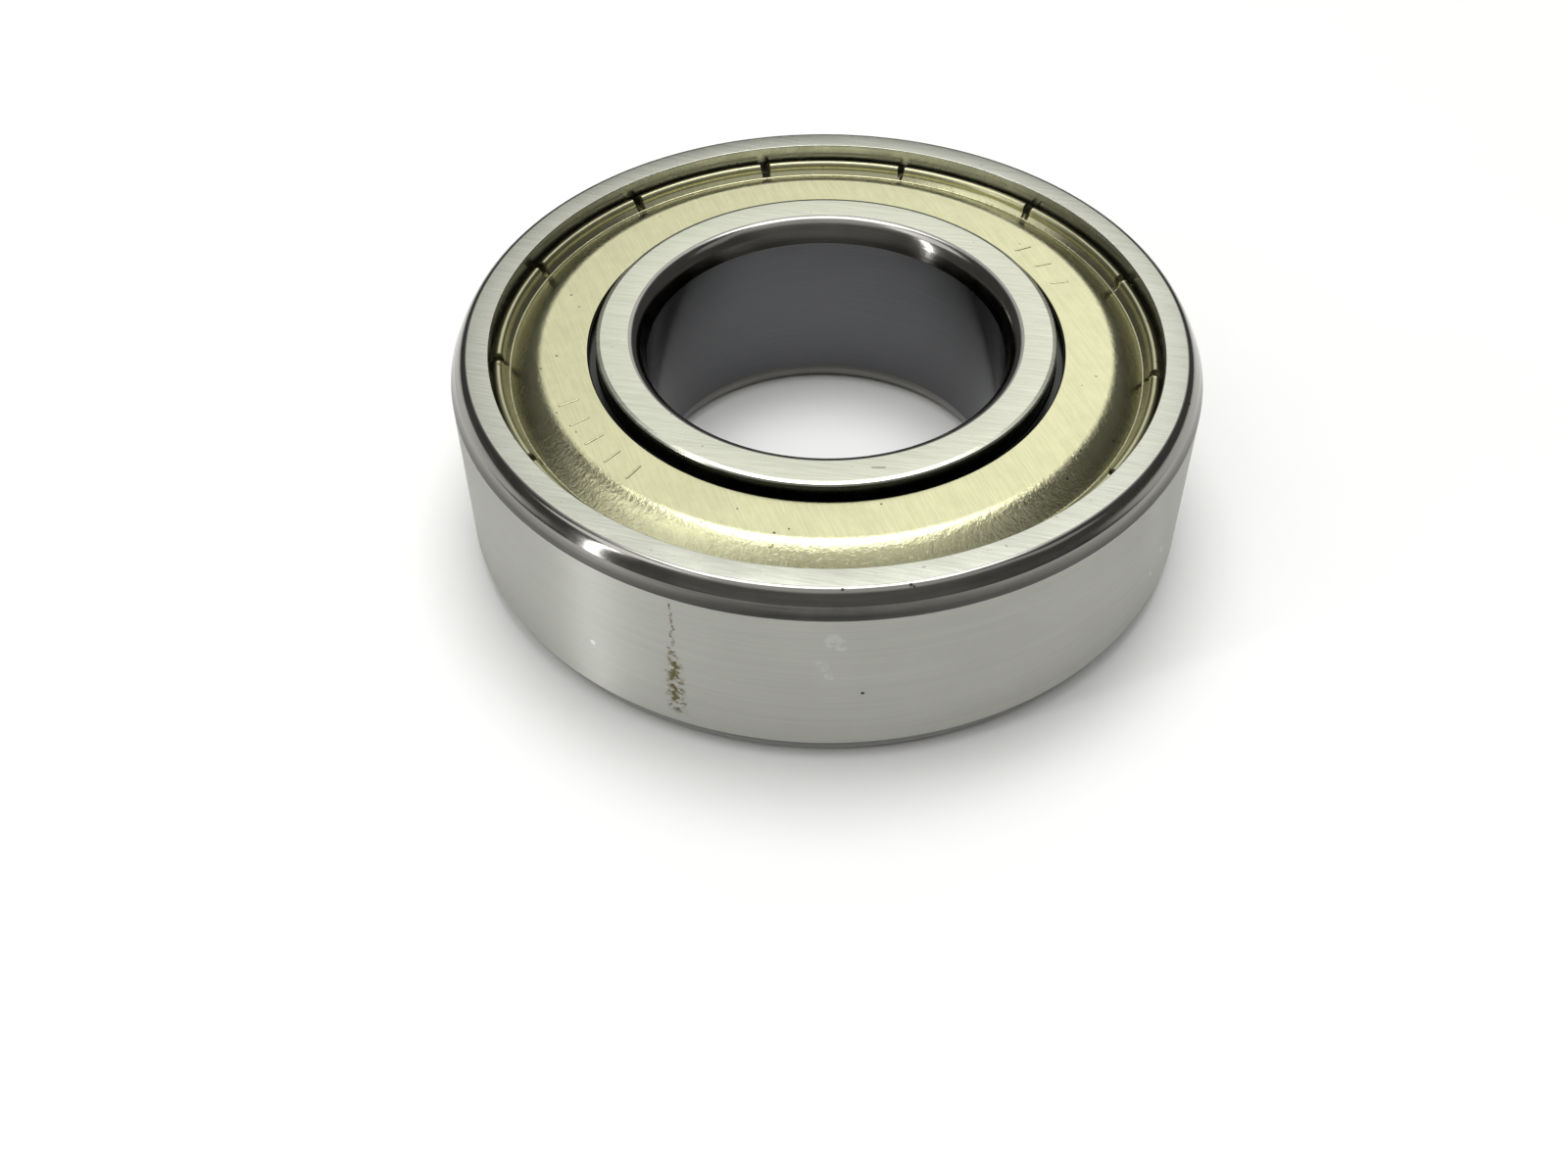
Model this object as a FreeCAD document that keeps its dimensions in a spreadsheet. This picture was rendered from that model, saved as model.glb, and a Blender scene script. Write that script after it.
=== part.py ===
import FreeCAD, Part

import math
import os

import Sketcher
from FreeCAD import Placement, Rotation, Vector

# Single-row deep groove ball bearing, 25 x 52 x 15 mm, with a pressed steel
# shield on each side. The origin is at the centre of the bearing, on the bore
# axis at mid width. +Z runs along the bore axis. Units are millimetres.

os.makedirs("parts", exist_ok=True)
doc = FreeCAD.newDocument("ball_bearing")

# ---------------------------------------------------------------- dimensions

DIMENSIONS = [
    # boundary dimensions (ISO 15, series 62, bore code 05)
    ("bore_dia", 25.0, "bore diameter d"),
    ("outside_dia", 52.0, "outside diameter D"),
    ("width", 15.0, "ring width B"),
    # ring corners
    ("outer_corner_radial", 1.2, "outer ring corner, leg along the face"),
    ("outer_corner_axial", 1.7, "outer ring corner, leg along the outside"),
    ("outer_corner_arc", 1.39, "arc radius of the outer ring corner"),
    ("outer_facet_radial", 0.40, "facet below the arc, leg along the face"),
    ("outer_facet_axial", 0.86, "depth below the face where the facet starts"),
    ("bore_corner_radial", 1.20, "bore corner, leg along the face"),
    ("bore_corner_axial", 1.65, "bore corner, leg along the bore"),
    ("bore_corner_arc", 1.24, "arc radius of the bore corner"),
    ("bore_facet_radial", 0.33, "facet below the arc, leg along the face"),
    ("bore_facet_axial", 0.82, "depth below the face where the facet starts"),
    # balls and raceways
    ("ball_dia", 7.938, "ball diameter, 5/16 inch"),
    ("pitch_dia", 38.5, "pitch circle diameter of the balls"),
    ("ball_count", 9, "number of balls"),
    ("race_gap", 0.010, "gap between ball and raceway bottom, each side"),
    ("inner_groove_rad", 4.090, "inner raceway groove radius, 0.515 of the ball"),
    ("outer_groove_rad", 4.207, "outer raceway groove radius, 0.53 of the ball"),
    ("inner_shoulder_dia", 34.3, "inner ring shoulder diameter"),
    ("outer_shoulder_dia", 42.7, "outer ring shoulder diameter"),
    ("shoulder_break", 0.15, "broken edge of the shoulders"),
    # inner ring land that the shield runs over
    ("land_dia", 31.9, "inner ring land diameter beside the face"),
    ("land_break_radial", 0.32, "broken edge of the land, leg along the face"),
    ("land_break_axial", 0.17, "broken edge of the land, leg along the land"),
    ("land_depth", 1.65, "depth of the land below the face"),
    # shield seat in the outer ring
    ("lip_dia", 46.5, "outer ring inside diameter at the face"),
    ("lip_break", 0.08, "broken edge of the lip"),
    ("lip_depth", 1.20, "depth of the lip below the face"),
    ("seat_dia", 46.86, "shield seat diameter behind the lip"),
    ("seat_top", 1.45, "depth where the seat reaches its full diameter"),
    ("seat_depth", 2.25, "depth of the ledge the shield lies on"),
    # shield
    ("sheet", 0.30, "shield sheet thickness"),
    ("shield_hole_dia", 33.0, "shield inside diameter"),
    ("plate_depth", 0.88, "depth of the shield plate below the ring face"),
    ("bend_start", 19.80, "radius where the plate starts to bend down"),
    ("bend_rad", 2.04, "bend radius on the outer face of the shield"),
    ("bend_angle", 36.0, "slope of the conical part, degrees"),
    ("valley_rad", 21.95, "radius of the valley beside the rim"),
    ("rim_inner", 22.35, "inner radius of the curled rim"),
    ("rim_outer", 23.09, "outer radius of the curled rim"),
    ("rim_crest", 1.05, "depth of the rim crest"),
    ("rim_skirt", 1.52, "depth where the rim flares into the seat"),
    ("rim_flare", 1.84, "depth where the flare reaches the seat diameter"),
    ("notch_count", 13, "number of notches in the rim"),
    ("notch_width", 0.50, "width of a notch"),
    ("notch_inner", 22.05, "radius where a notch starts"),
    ("notch_azimuth", 75.3, "azimuth of the first notch, degrees"),
    # cage
    ("cage_sheet", 0.80, "cage sheet thickness"),
    ("pocket_rad", 4.07, "inside radius of a cage pocket"),
    ("ribbon_inner", 17.65, "inner radius of the cage ribbon"),
    ("ribbon_outer", 20.85, "outer radius of the cage ribbon"),
    # cage rivets
    ("rivet_shank", 0.60, "rivet shank radius"),
    ("rivet_head", 1.10, "rivet head radius"),
    ("rivet_head_height", 0.55, "rivet head height"),
]

sheet = doc.addObject("Spreadsheet::Sheet", "Dims")
sheet.Label = "Dimensions"
VALUE = {}
for row, (alias, number, meaning) in enumerate(DIMENSIONS, start=1):
    sheet.set("A%d" % row, alias)
    sheet.set("B%d" % row, "%g" % number)
    sheet.set("C%d" % row, meaning)
    sheet.setAlias("B%d" % row, alias)
    VALUE[alias] = float(number)
doc.recompute()


class Size:
    """A size with its number and the spreadsheet formula that gives it."""

    def __init__(self, number, formula):
        self.number = number
        self.formula = formula

    @staticmethod
    def of(other):
        return other if isinstance(other, Size) else Size(float(other), "%r" % float(other))

    def __add__(self, other):
        other = Size.of(other)
        return Size(self.number + other.number, "(%s + %s)" % (self.formula, other.formula))

    def __sub__(self, other):
        other = Size.of(other)
        return Size(self.number - other.number, "(%s - %s)" % (self.formula, other.formula))

    def __mul__(self, other):
        other = Size.of(other)
        return Size(self.number * other.number, "(%s * %s)" % (self.formula, other.formula))

    def __truediv__(self, other):
        other = Size.of(other)
        return Size(self.number / other.number, "(%s / %s)" % (self.formula, other.formula))

    def __neg__(self):
        return Size(-self.number, "(-1 * %s)" % self.formula)


def dim(alias):
    return Size(VALUE[alias], "Dims.%s" % alias)


def cosine(angle):
    return Size(math.cos(math.radians(angle.number)), "cos(%s * 1 deg)" % angle.formula)


def sine(angle):
    return Size(math.sin(math.radians(angle.number)), "sin(%s * 1 deg)" % angle.formula)


def tangent(angle):
    return Size(math.tan(math.radians(angle.number)), "tan(%s * 1 deg)" % angle.formula)


def root(size):
    return Size(math.sqrt(size.number), "sqrt(%s)" % size.formula)


ZERO = Size(0.0, "0")

# ------------------------------------------------------------------- helpers


def origin_feature(body, role):
    for feature in body.Origin.OriginFeatures:
        if feature.Role == role:
            return feature
    raise RuntimeError("no origin feature " + role)


def new_body(name):
    body = doc.addObject("PartDesign::Body", "Body_" + name)
    body.Label = name
    return body


def new_sketch(body, name, role):
    sketch = body.newObject("Sketcher::SketchObject", name)
    sketch.AttachmentSupport = [(origin_feature(body, role), "")]
    sketch.MapMode = "FlatFace"
    return sketch


def pin_point(sketch, geo, pos, x, y):
    """Hold one sketch point at a distance from the sketch origin."""
    for kind, size in (("DistanceX", x), ("DistanceY", y)):
        if size is None:
            continue
        index = sketch.addConstraint(Sketcher.Constraint(kind, -1, 1, geo, pos, size.number))
        sketch.setExpression("Constraints[%d]" % index, size.formula)


def closed_profile(sketch, outline):
    """Closed chain of lines and arcs.

    Each entry is (x, y) for a line to the next point, or
    (x, y, radius, side) for an arc of that radius to the next point, with its
    centre on the left (side +1) or on the right (side -1) of the travel.
    """
    count = len(outline)
    spots = [(entry[0].number, entry[1].number) for entry in outline]
    for i, entry in enumerate(outline):
        (x0, y0), (x1, y1) = spots[i], spots[(i + 1) % count]
        start, end = Vector(x0, y0, 0), Vector(x1, y1, 0)
        if len(entry) == 2:
            sketch.addGeometry(Part.LineSegment(start, end), False)
            continue
        radius, side = entry[2], entry[3]
        chord = math.hypot(x1 - x0, y1 - y0)
        rise = math.sqrt(max(radius.number ** 2 - chord * chord / 4, 0.0))
        nx, ny = -(y1 - y0) / chord * side, (x1 - x0) / chord * side
        cx, cy = (x0 + x1) / 2 + nx * rise, (y0 + y1) / 2 + ny * rise
        a0 = math.atan2(y0 - cy, x0 - cx)
        a1 = math.atan2(y1 - cy, x1 - cx)
        if side < 0:
            a0, a1 = a1, a0
        while a1 < a0:
            a1 += 2 * math.pi
        circle = Part.Circle(Vector(cx, cy, 0), Vector(0, 0, 1), radius.number)
        sketch.addGeometry(Part.ArcOfCircle(circle, a0, a1), False)
    for i, entry in enumerate(outline):
        j = (i + 1) % count
        ends = (1, 2) if len(entry) == 2 or entry[3] > 0 else (2, 1)
        starts = (1, 2) if len(outline[j]) == 2 or outline[j][3] > 0 else (2, 1)
        sketch.addConstraint(Sketcher.Constraint("Coincident", i, ends[1], j, starts[0]))
        pin_point(sketch, i, ends[0], entry[0], entry[1])
        if len(entry) > 2:
            index = sketch.addConstraint(Sketcher.Constraint("Radius", i, entry[2].number))
            sketch.setExpression("Constraints[%d]" % index, entry[2].formula)


def revolve(body, sketch, name, axis="V_Axis", cut=False):
    kind = "PartDesign::Groove" if cut else "PartDesign::Revolution"
    feature = body.newObject(kind, name)
    feature.Profile = sketch
    feature.ReferenceAxis = (sketch, [axis])
    feature.Angle = 360.0
    sketch.Visibility = False
    body.Tip = feature
    return feature


def pattern(body, feature, name, count_alias):
    feature_set = body.newObject("PartDesign::PolarPattern", name)
    feature_set.Originals = [feature]
    feature_set.Axis = (origin_feature(body, "Z_Axis"), [""])
    feature_set.Angle = 360.0
    feature_set.Occurrences = int(VALUE[count_alias])
    feature_set.setExpression("Occurrences", "Dims.%s" % count_alias)
    body.Tip = feature_set
    return feature_set


def mirrored(upper):
    """Whole outline from its upper half, which runs from y > 0 on one side to
    y > 0 on the other: the lower half is the same points at -y, reversed."""
    lower = []
    last = len(upper) - 1
    for i in range(last, -1, -1):
        point = upper[i]
        entry = [point[0], -point[1]]
        if i > 0 and len(upper[i - 1]) > 2:
            entry += [upper[i - 1][2], upper[i - 1][3]]
        lower.append(tuple(entry))
    return lower


def volume_now(body):
    doc.recompute()
    return body.Shape.Volume


# -------------------------------------------------------------- common sizes

half = dim("width") / 2
pitch = dim("pitch_dia") / 2
ball = dim("ball_dia") / 2


def race_edge(groove, centre, shoulder):
    """Half width of a raceway where it meets the shoulder."""
    return root(groove * groove - (shoulder - centre) * (shoulder - centre))


# ---------------------------------------------------------------- outer ring


def make_outer_ring():
    body = new_body("outer_ring")
    sketch = new_sketch(body, "OuterRingSection", "XZ_Plane")
    outside = dim("outside_dia") / 2
    lip = dim("lip_dia") / 2
    seat = dim("seat_dia") / 2
    shoulder = dim("outer_shoulder_dia") / 2
    edge = dim("shoulder_break")
    groove = dim("outer_groove_rad")
    centre = pitch + ball + dim("race_gap") - groove
    race = race_edge(groove, centre, shoulder)
    upper = [
        (outside, half - dim("outer_corner_axial")),
        (
            outside - dim("outer_facet_radial"),
            half - dim("outer_facet_axial"),
            dim("outer_corner_arc"),
            1,
        ),
        (outside - dim("outer_corner_radial"), half),
        (lip + dim("lip_break"), half),
        (lip, half - dim("lip_break")),
        (lip, half - dim("lip_depth")),
        (seat, half - dim("seat_top")),
        (seat, half - dim("seat_depth")),
        (shoulder + edge, half - dim("seat_depth")),
        (shoulder, half - dim("seat_depth") - edge),
        (shoulder, race, groove, -1),
    ]
    outline = upper + mirrored(upper)
    closed_profile(sketch, outline)
    revolve(body, sketch, "OuterRingTurned")
    return body


# ---------------------------------------------------------------- inner ring


def make_inner_ring():
    body = new_body("inner_ring")
    sketch = new_sketch(body, "InnerRingSection", "XZ_Plane")
    bore = dim("bore_dia") / 2
    land = dim("land_dia") / 2
    shoulder = dim("inner_shoulder_dia") / 2
    edge = dim("shoulder_break")
    groove = dim("inner_groove_rad")
    centre = pitch - ball - dim("race_gap") + groove
    race = race_edge(groove, centre, shoulder)
    upper = [
        (bore, half - dim("bore_corner_axial")),
        (
            bore + dim("bore_facet_radial"),
            half - dim("bore_facet_axial"),
            dim("bore_corner_arc"),
            -1,
        ),
        (bore + dim("bore_corner_radial"), half),
        (land - dim("land_break_radial"), half),
        (land, half - dim("land_break_axial")),
        (land, half - dim("land_depth")),
        (shoulder - edge, half - dim("land_depth")),
        (shoulder, half - dim("land_depth") - edge),
        (shoulder, race, groove, 1),
    ]
    outline = upper + mirrored(upper)
    closed_profile(sketch, outline)
    revolve(body, sketch, "InnerRingTurned")
    return body


# ------------------------------------------------------------------- shields


def make_shield(name):
    """Pressed sheet shield, drawn for the upper side of the bearing: a flat
    plate, a cone down to a valley, and a curled rim cut by narrow notches."""
    body = new_body(name)
    sketch = new_sketch(body, "ShieldSection", "XZ_Plane")
    angle = dim("bend_angle")
    gauge = dim("sheet")
    top = half - dim("plate_depth")
    hole = dim("shield_hole_dia") / 2
    bend = dim("bend_rad")
    start = dim("bend_start")
    knee_x = start + bend * sine(angle)
    knee_y = top - bend * (Size(1.0, "1") - cosine(angle))
    under_x = start + (bend - gauge) * sine(angle)
    under_y = top - bend + (bend - gauge) * cosine(angle)
    valley = dim("valley_rad")
    valley_y = knee_y - (valley - knee_x) * tangent(angle)
    floor = half - dim("seat_depth")
    foot_x = under_x + (under_y - floor) / tangent(angle)
    seat = dim("seat_dia") / 2
    rim_in, rim_out = dim("rim_inner"), dim("rim_outer")
    crest_rad = (rim_out - rim_in) / 2
    shoulder_y = half - dim("rim_crest") - crest_rad
    outline = [
        (hole, top - gauge),
        (start, top - gauge, bend - gauge, -1),
        (under_x, under_y),
        (foot_x, floor),
        (seat - gauge / 2, floor),
        (seat, floor + gauge / 2),
        (seat, half - dim("rim_flare")),
        (rim_out, half - dim("rim_skirt")),
        (rim_out, shoulder_y, crest_rad, 1),
        (rim_in + crest_rad, half - dim("rim_crest"), crest_rad, 1),
        (rim_in, shoulder_y),
        (rim_in, valley_y + gauge),
        (valley, valley_y),
        (knee_x, knee_y, bend, 1),
        (start, top),
        (hole, top),
    ]
    closed_profile(sketch, outline)
    revolve(body, sketch, "ShieldPressed")
    solid = volume_now(body)

    # one notch, drawn as a slot that runs out past the rim, then repeated
    notch = new_sketch(body, "NotchOutline", "XY_Plane")
    wide = dim("notch_width") / 2
    closed_profile(
        notch,
        [
            (dim("notch_inner"), -wide),
            (seat + 1.0, -wide),
            (seat + 1.0, wide),
            (dim("notch_inner"), wide),
        ],
    )
    notch.AttachmentOffset = Placement(
        Vector(0, 0, 0), Rotation(Vector(0, 0, 1), VALUE["notch_azimuth"])
    )
    notch.setExpression("AttachmentOffset.Rotation.Angle", "Dims.notch_azimuth * 1 deg")
    pocket = body.newObject("PartDesign::Pocket", "Notch")
    pocket.Profile = notch
    pocket.Type = "ThroughAll"
    pocket.Reversed = True
    body.Tip = pocket
    after = volume_now(body)
    if not after < solid - 0.01:
        raise RuntimeError("the notch cut nothing from " + name)
    pattern(body, pocket, "Notches", "notch_count")
    final = volume_now(body)
    expected = solid - (solid - after) * VALUE["notch_count"]
    if abs(final - expected) > 0.02 * (solid - final):
        raise RuntimeError("the notches of %s do not add up" % name)
    return body


# ---------------------------------------------------------------------- cage


def make_cage_half(name):
    """Half of the pressed ribbon cage, drawn for the upper side: a flat
    ribbon on the mid plane with a spherical pocket over each ball."""
    body = new_body(name)
    gauge = dim("cage_sheet")
    inner, outer = dim("ribbon_inner"), dim("ribbon_outer")
    pocket_in = dim("pocket_rad")
    pocket_out = pocket_in + gauge

    ribbon = new_sketch(body, "RibbonSection", "XZ_Plane")
    closed_profile(
        ribbon, [(inner, ZERO), (outer, ZERO), (outer, gauge), (inner, gauge)]
    )
    revolve(body, ribbon, "Ribbon")
    flat = volume_now(body)

    dome = new_sketch(body, "PocketOutside", "XZ_Plane")
    closed_profile(
        dome,
        [(pitch, ZERO), (pitch + pocket_out, ZERO, pocket_out, 1), (pitch, pocket_out)],
    )
    line = dome.addGeometry(
        Part.LineSegment(Vector(pitch.number, 0, 0), Vector(pitch.number, 5, 0)), True
    )
    dome.addConstraint(Sketcher.Constraint("Vertical", line))
    dome.addConstraint(Sketcher.Constraint("Coincident", line, 1, 0, 1))
    doc.recompute()
    domes = revolve(body, dome, "PocketDome", axis="Axis0")
    doc.recompute()
    pattern(body, domes, "PocketDomes", "ball_count")
    domed = volume_now(body)
    if not domed > flat + 9 * 50:
        raise RuntimeError("the pocket domes of %s are missing" % name)

    # trim the domes to the width of the ribbon, inside and outside
    far = dim("outside_dia") / 2
    near = dim("bore_dia") / 2
    for label, a, b in (("TrimOutside", outer, far), ("TrimInside", near, inner)):
        trim = new_sketch(body, label + "Section", "XZ_Plane")
        closed_profile(
            trim,
            [(a, ZERO - 1.0), (b, ZERO - 1.0), (b, half), (a, half)],
        )
        before = volume_now(body)
        revolve(body, trim, label, cut=True)
        if not volume_now(body) < before - 1.0:
            raise RuntimeError("%s cut nothing from %s" % (label, name))

    hollow = new_sketch(body, "PocketInside", "XZ_Plane")
    closed_profile(
        hollow,
        [(pitch, ZERO), (pitch + pocket_in, ZERO, pocket_in, 1), (pitch, pocket_in)],
    )
    line = hollow.addGeometry(
        Part.LineSegment(Vector(pitch.number, 0, 0), Vector(pitch.number, 4.0, 0)), True
    )
    hollow.addConstraint(Sketcher.Constraint("Vertical", line))
    hollow.addConstraint(Sketcher.Constraint("Coincident", line, 1, 0, 1))
    before = volume_now(body)
    pocket = revolve(body, hollow, "Pocket", axis="Axis0", cut=True)
    one = volume_now(body)
    if not one < before - 40.0:
        raise RuntimeError("the first pocket of %s is not hollow: %g %g" % (name, before, one))
    pattern(body, pocket, "Pockets", "ball_count")
    if not volume_now(body) < before - 400.0:
        raise RuntimeError("the pockets of %s are not hollow" % name)

    # rivet holes, midway between the pockets
    hole = new_sketch(body, "RivetHoleOutline", "XY_Plane")
    circle = hole.addGeometry(
        Part.Circle(Vector(pitch.number, 0, 0), Vector(0, 0, 1), VALUE["rivet_shank"]), False
    )
    index = hole.addConstraint(Sketcher.Constraint("Radius", circle, VALUE["rivet_shank"]))
    hole.setExpression("Constraints[%d]" % index, "Dims.rivet_shank")
    pin_point(hole, circle, 3, pitch, ZERO)
    step = 180.0 / VALUE["ball_count"]
    hole.AttachmentOffset = Placement(Vector(0, 0, 0), Rotation(Vector(0, 0, 1), step))
    hole.setExpression("AttachmentOffset.Rotation.Angle", "180 deg / Dims.ball_count")
    drilled = body.newObject("PartDesign::Pocket", "RivetHole")
    drilled.Profile = hole
    drilled.Type = "ThroughAll"
    drilled.Reversed = True
    body.Tip = drilled
    before = volume_now(body)
    pattern(body, drilled, "RivetHoles", "ball_count")
    after = volume_now(body)
    if not after < before - 1.0:
        raise RuntimeError("the rivet holes of %s are missing" % name)
    return body


# -------------------------------------------------------------------- rivets


def make_rivet(name, index):
    """Rivet between two balls, with a domed head above and an upset head
    below the two cage sheets."""
    body = new_body(name)
    sketch = new_sketch(body, "RivetSection", "XZ_Plane")
    shank = dim("rivet_shank")
    head = dim("rivet_head")
    rise = dim("rivet_head_height")
    gauge = dim("cage_sheet")
    dome = (head * head + rise * rise) / (rise * 2.0)
    flat = dim("rivet_head") * 0.55
    closed_profile(
        sketch,
        [
            (ZERO, -(gauge + rise * 0.8)),
            (flat, -(gauge + rise * 0.8)),
            (head, -(gauge + rise * 0.25)),
            (head, -gauge),
            (shank, -gauge),
            (shank, gauge),
            (head, gauge, dome, 1),
            (ZERO, gauge + rise),
        ],
    )
    revolve(body, sketch, "RivetUpset")
    azimuth = 360.0 / VALUE["ball_count"] * (index + 0.5)
    a = math.radians(azimuth)
    body.Placement = Placement(
        Vector(pitch.number * math.cos(a), pitch.number * math.sin(a), 0),
        Rotation(Vector(0, 0, 1), azimuth),
    )
    turn = "360 deg / Dims.ball_count * %.1f" % (index + 0.5)
    body.setExpression("Placement.Base.x", "Dims.pitch_dia / 2 * cos(%s)" % turn)
    body.setExpression("Placement.Base.y", "Dims.pitch_dia / 2 * sin(%s)" % turn)
    return body


# --------------------------------------------------------------------- balls


def make_ball(name, index):
    piece = doc.addObject("Part::Sphere", "Sphere_" + name)
    piece.Label = name
    piece.Radius = ball.number
    piece.setExpression("Radius", "Dims.ball_dia / 2")
    azimuth = 360.0 / VALUE["ball_count"] * index
    a = math.radians(azimuth)
    piece.Placement = Placement(
        Vector(pitch.number * math.cos(a), pitch.number * math.sin(a), 0), Rotation()
    )
    turn = "360 deg / Dims.ball_count * %d" % index
    piece.setExpression("Placement.Base.x", "Dims.pitch_dia / 2 * cos(%s)" % turn)
    piece.setExpression("Placement.Base.y", "Dims.pitch_dia / 2 * sin(%s)" % turn)
    return piece


# ------------------------------------------------------------------ assembly

pieces = [make_outer_ring(), make_inner_ring()]

upper_shield = make_shield("upper_shield")
lower_shield = make_shield("lower_shield")
lower_shield.Placement = Placement(Vector(0, 0, 0), Rotation(Vector(1, 0, 0), 180))
pieces += [upper_shield, lower_shield]

cage_upper = make_cage_half("cage_upper_half")
cage_lower = make_cage_half("cage_lower_half")
cage_lower.Placement = Placement(Vector(0, 0, 0), Rotation(Vector(1, 0, 0), 180))
pieces += [cage_upper, cage_lower]

for number in range(int(VALUE["ball_count"])):
    pieces.append(make_ball("ball_%d" % (number + 1), number))
for number in range(int(VALUE["ball_count"])):
    pieces.append(make_rivet("cage_rivet_%d" % (number + 1), number))

doc.recompute()

# ------------------------------------------------------------ check and write

for item in doc.Objects:
    bad = [state for state in item.State if state in ("Invalid", "Error")]
    if bad:
        raise RuntimeError("%s (%s) is %s" % (item.Name, item.Label, bad))

for piece in pieces:
    shape = piece.Shape
    if shape.isNull() or not shape.isValid():
        raise RuntimeError("bad shape: " + piece.Label)
    if len(shape.Solids) != 1:
        raise RuntimeError("%s has %d solids" % (piece.Label, len(shape.Solids)))

for piece in pieces:
    box = piece.Shape.BoundBox
    print(
        "%-18s volume %10.3f  x %7.3f..%7.3f  y %7.3f..%7.3f  z %7.3f..%7.3f"
        % (piece.Label, piece.Shape.Volume, box.XMin, box.XMax, box.YMin, box.YMax, box.ZMin, box.ZMax)
    )
    piece.Shape.exportStep("parts/%s.step" % piece.Label)
print("%d pieces written" % len(pieces))
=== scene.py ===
import math

import bpy
from mathutils import Matrix, Vector

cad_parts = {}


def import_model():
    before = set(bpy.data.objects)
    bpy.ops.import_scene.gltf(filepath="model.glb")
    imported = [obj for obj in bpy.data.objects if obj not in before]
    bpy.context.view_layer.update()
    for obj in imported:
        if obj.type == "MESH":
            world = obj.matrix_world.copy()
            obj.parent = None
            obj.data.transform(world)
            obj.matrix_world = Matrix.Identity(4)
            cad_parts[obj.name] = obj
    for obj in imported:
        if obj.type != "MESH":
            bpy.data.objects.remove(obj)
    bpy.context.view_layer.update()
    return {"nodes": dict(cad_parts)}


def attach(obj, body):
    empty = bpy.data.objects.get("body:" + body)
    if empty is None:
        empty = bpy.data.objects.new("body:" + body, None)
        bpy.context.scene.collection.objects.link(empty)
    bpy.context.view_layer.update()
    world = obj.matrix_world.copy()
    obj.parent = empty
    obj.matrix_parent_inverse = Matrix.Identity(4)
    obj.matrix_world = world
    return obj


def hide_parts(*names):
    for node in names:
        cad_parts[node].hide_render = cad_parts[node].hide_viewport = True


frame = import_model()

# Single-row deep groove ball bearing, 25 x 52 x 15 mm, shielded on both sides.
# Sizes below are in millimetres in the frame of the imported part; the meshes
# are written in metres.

MM = 0.001

# ---------------------------------------------------------------------------
# mesh building
# ---------------------------------------------------------------------------


class Mesh:
    """Collects vertices and faces with a normal for every face corner."""

    def __init__(self):
        self.verts, self.faces, self.normals, self.finish = [], [], [], []

    def vert(self, x, y, z):
        self.verts.append((x * MM, y * MM, z * MM))
        return len(self.verts) - 1

    def face(self, ids, normals, finish=0):
        self.faces.append(tuple(ids))
        self.normals.extend(normals)
        self.finish.append(finish)

    def flat(self, ids, finish=0):
        a, b, c = (Vector(self.verts[i]) for i in (ids[0], ids[1], ids[2]))
        n = (b - a).cross(c - a)
        if len(ids) > 3 or n.length == 0:
            n = Vector((0, 0, 0))
            for k in range(len(ids)):
                p, q = Vector(self.verts[ids[k]]), Vector(self.verts[ids[(k + 1) % len(ids)]])
                n += p.cross(q)
        n.normalize()
        self.face(ids, [tuple(n)] * len(ids), finish)

    def build(self, name, materials):
        mesh = bpy.data.meshes.new(name)
        mesh.from_pydata(self.verts, [], self.faces)
        for material in materials:
            mesh.materials.append(material)
        mesh.polygons.foreach_set("material_index", self.finish)
        mesh.polygons.foreach_set("use_smooth", [True] * len(self.faces))
        mesh.update()
        mesh.normals_split_custom_set(self.normals)
        obj = bpy.data.objects.new(name, mesh)
        bpy.context.scene.collection.objects.link(obj)
        return obj


def arc(cx, cz, radius, start, end, count, finish):
    """Inner points of an arc, without its two ends; angles in degrees."""
    out = []
    for k in range(1, count):
        a = math.radians(start + (end - start) * k / count)
        out.append((cx + radius * math.cos(a), cz + radius * math.sin(a), 0.0, finish))
    return out


def arc_between(p, q, first_dir, count, finish):
    """Inner points of the arc from p to q that leaves p in a direction given
    in degrees."""
    chord = math.hypot(q[0] - p[0], q[1] - p[1])
    chord_dir = math.atan2(q[1] - p[1], q[0] - p[0])
    half = math.remainder(chord_dir - math.radians(first_dir), 2 * math.pi)
    radius = chord / (2 * math.sin(half))
    cx = p[0] - radius * math.sin(math.radians(first_dir))
    cz = p[1] + radius * math.cos(math.radians(first_dir))
    a0 = math.atan2(p[1] - cz, p[0] - cx)
    out = []
    for k in range(1, count):
        a = a0 + 2 * half * k / count
        out.append((cx + abs(radius) * math.cos(a), cz + abs(radius) * math.sin(a), 0.0, finish))
    return out


def curve_between(p, q, out_dir, in_dir, out_len, in_len, count, finish):
    """Inner points of a cubic curve from p to q with given end directions in
    degrees and handle lengths."""
    a, b = math.radians(out_dir), math.radians(in_dir)
    h1 = (p[0] + out_len * math.cos(a), p[1] + out_len * math.sin(a))
    h2 = (q[0] - in_len * math.cos(b), q[1] - in_len * math.sin(b))
    out = []
    for k in range(1, count):
        t = k / count
        w = ((1 - t) ** 3, 3 * t * (1 - t) ** 2, 3 * t * t * (1 - t), t**3)
        out.append(tuple(sum(wi * v[i] for wi, v in zip(w, (p, h1, h2, q))) for i in (0, 1)) + (0.0, finish))
    return out


def polar(azimuth, radius, z):
    a = math.radians(azimuth)
    return (radius * math.cos(a), radius * math.sin(a), z)


def mirrored(points):
    """The lower half of a closed section, from its upper half."""
    out = []
    for k in range(len(points) - 1, -1, -1):
        r, z, fillet, _ = points[k]
        finish = points[k - 1][3] if k > 0 else None
        out.append((r, -z, fillet, finish))
    return out


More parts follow.
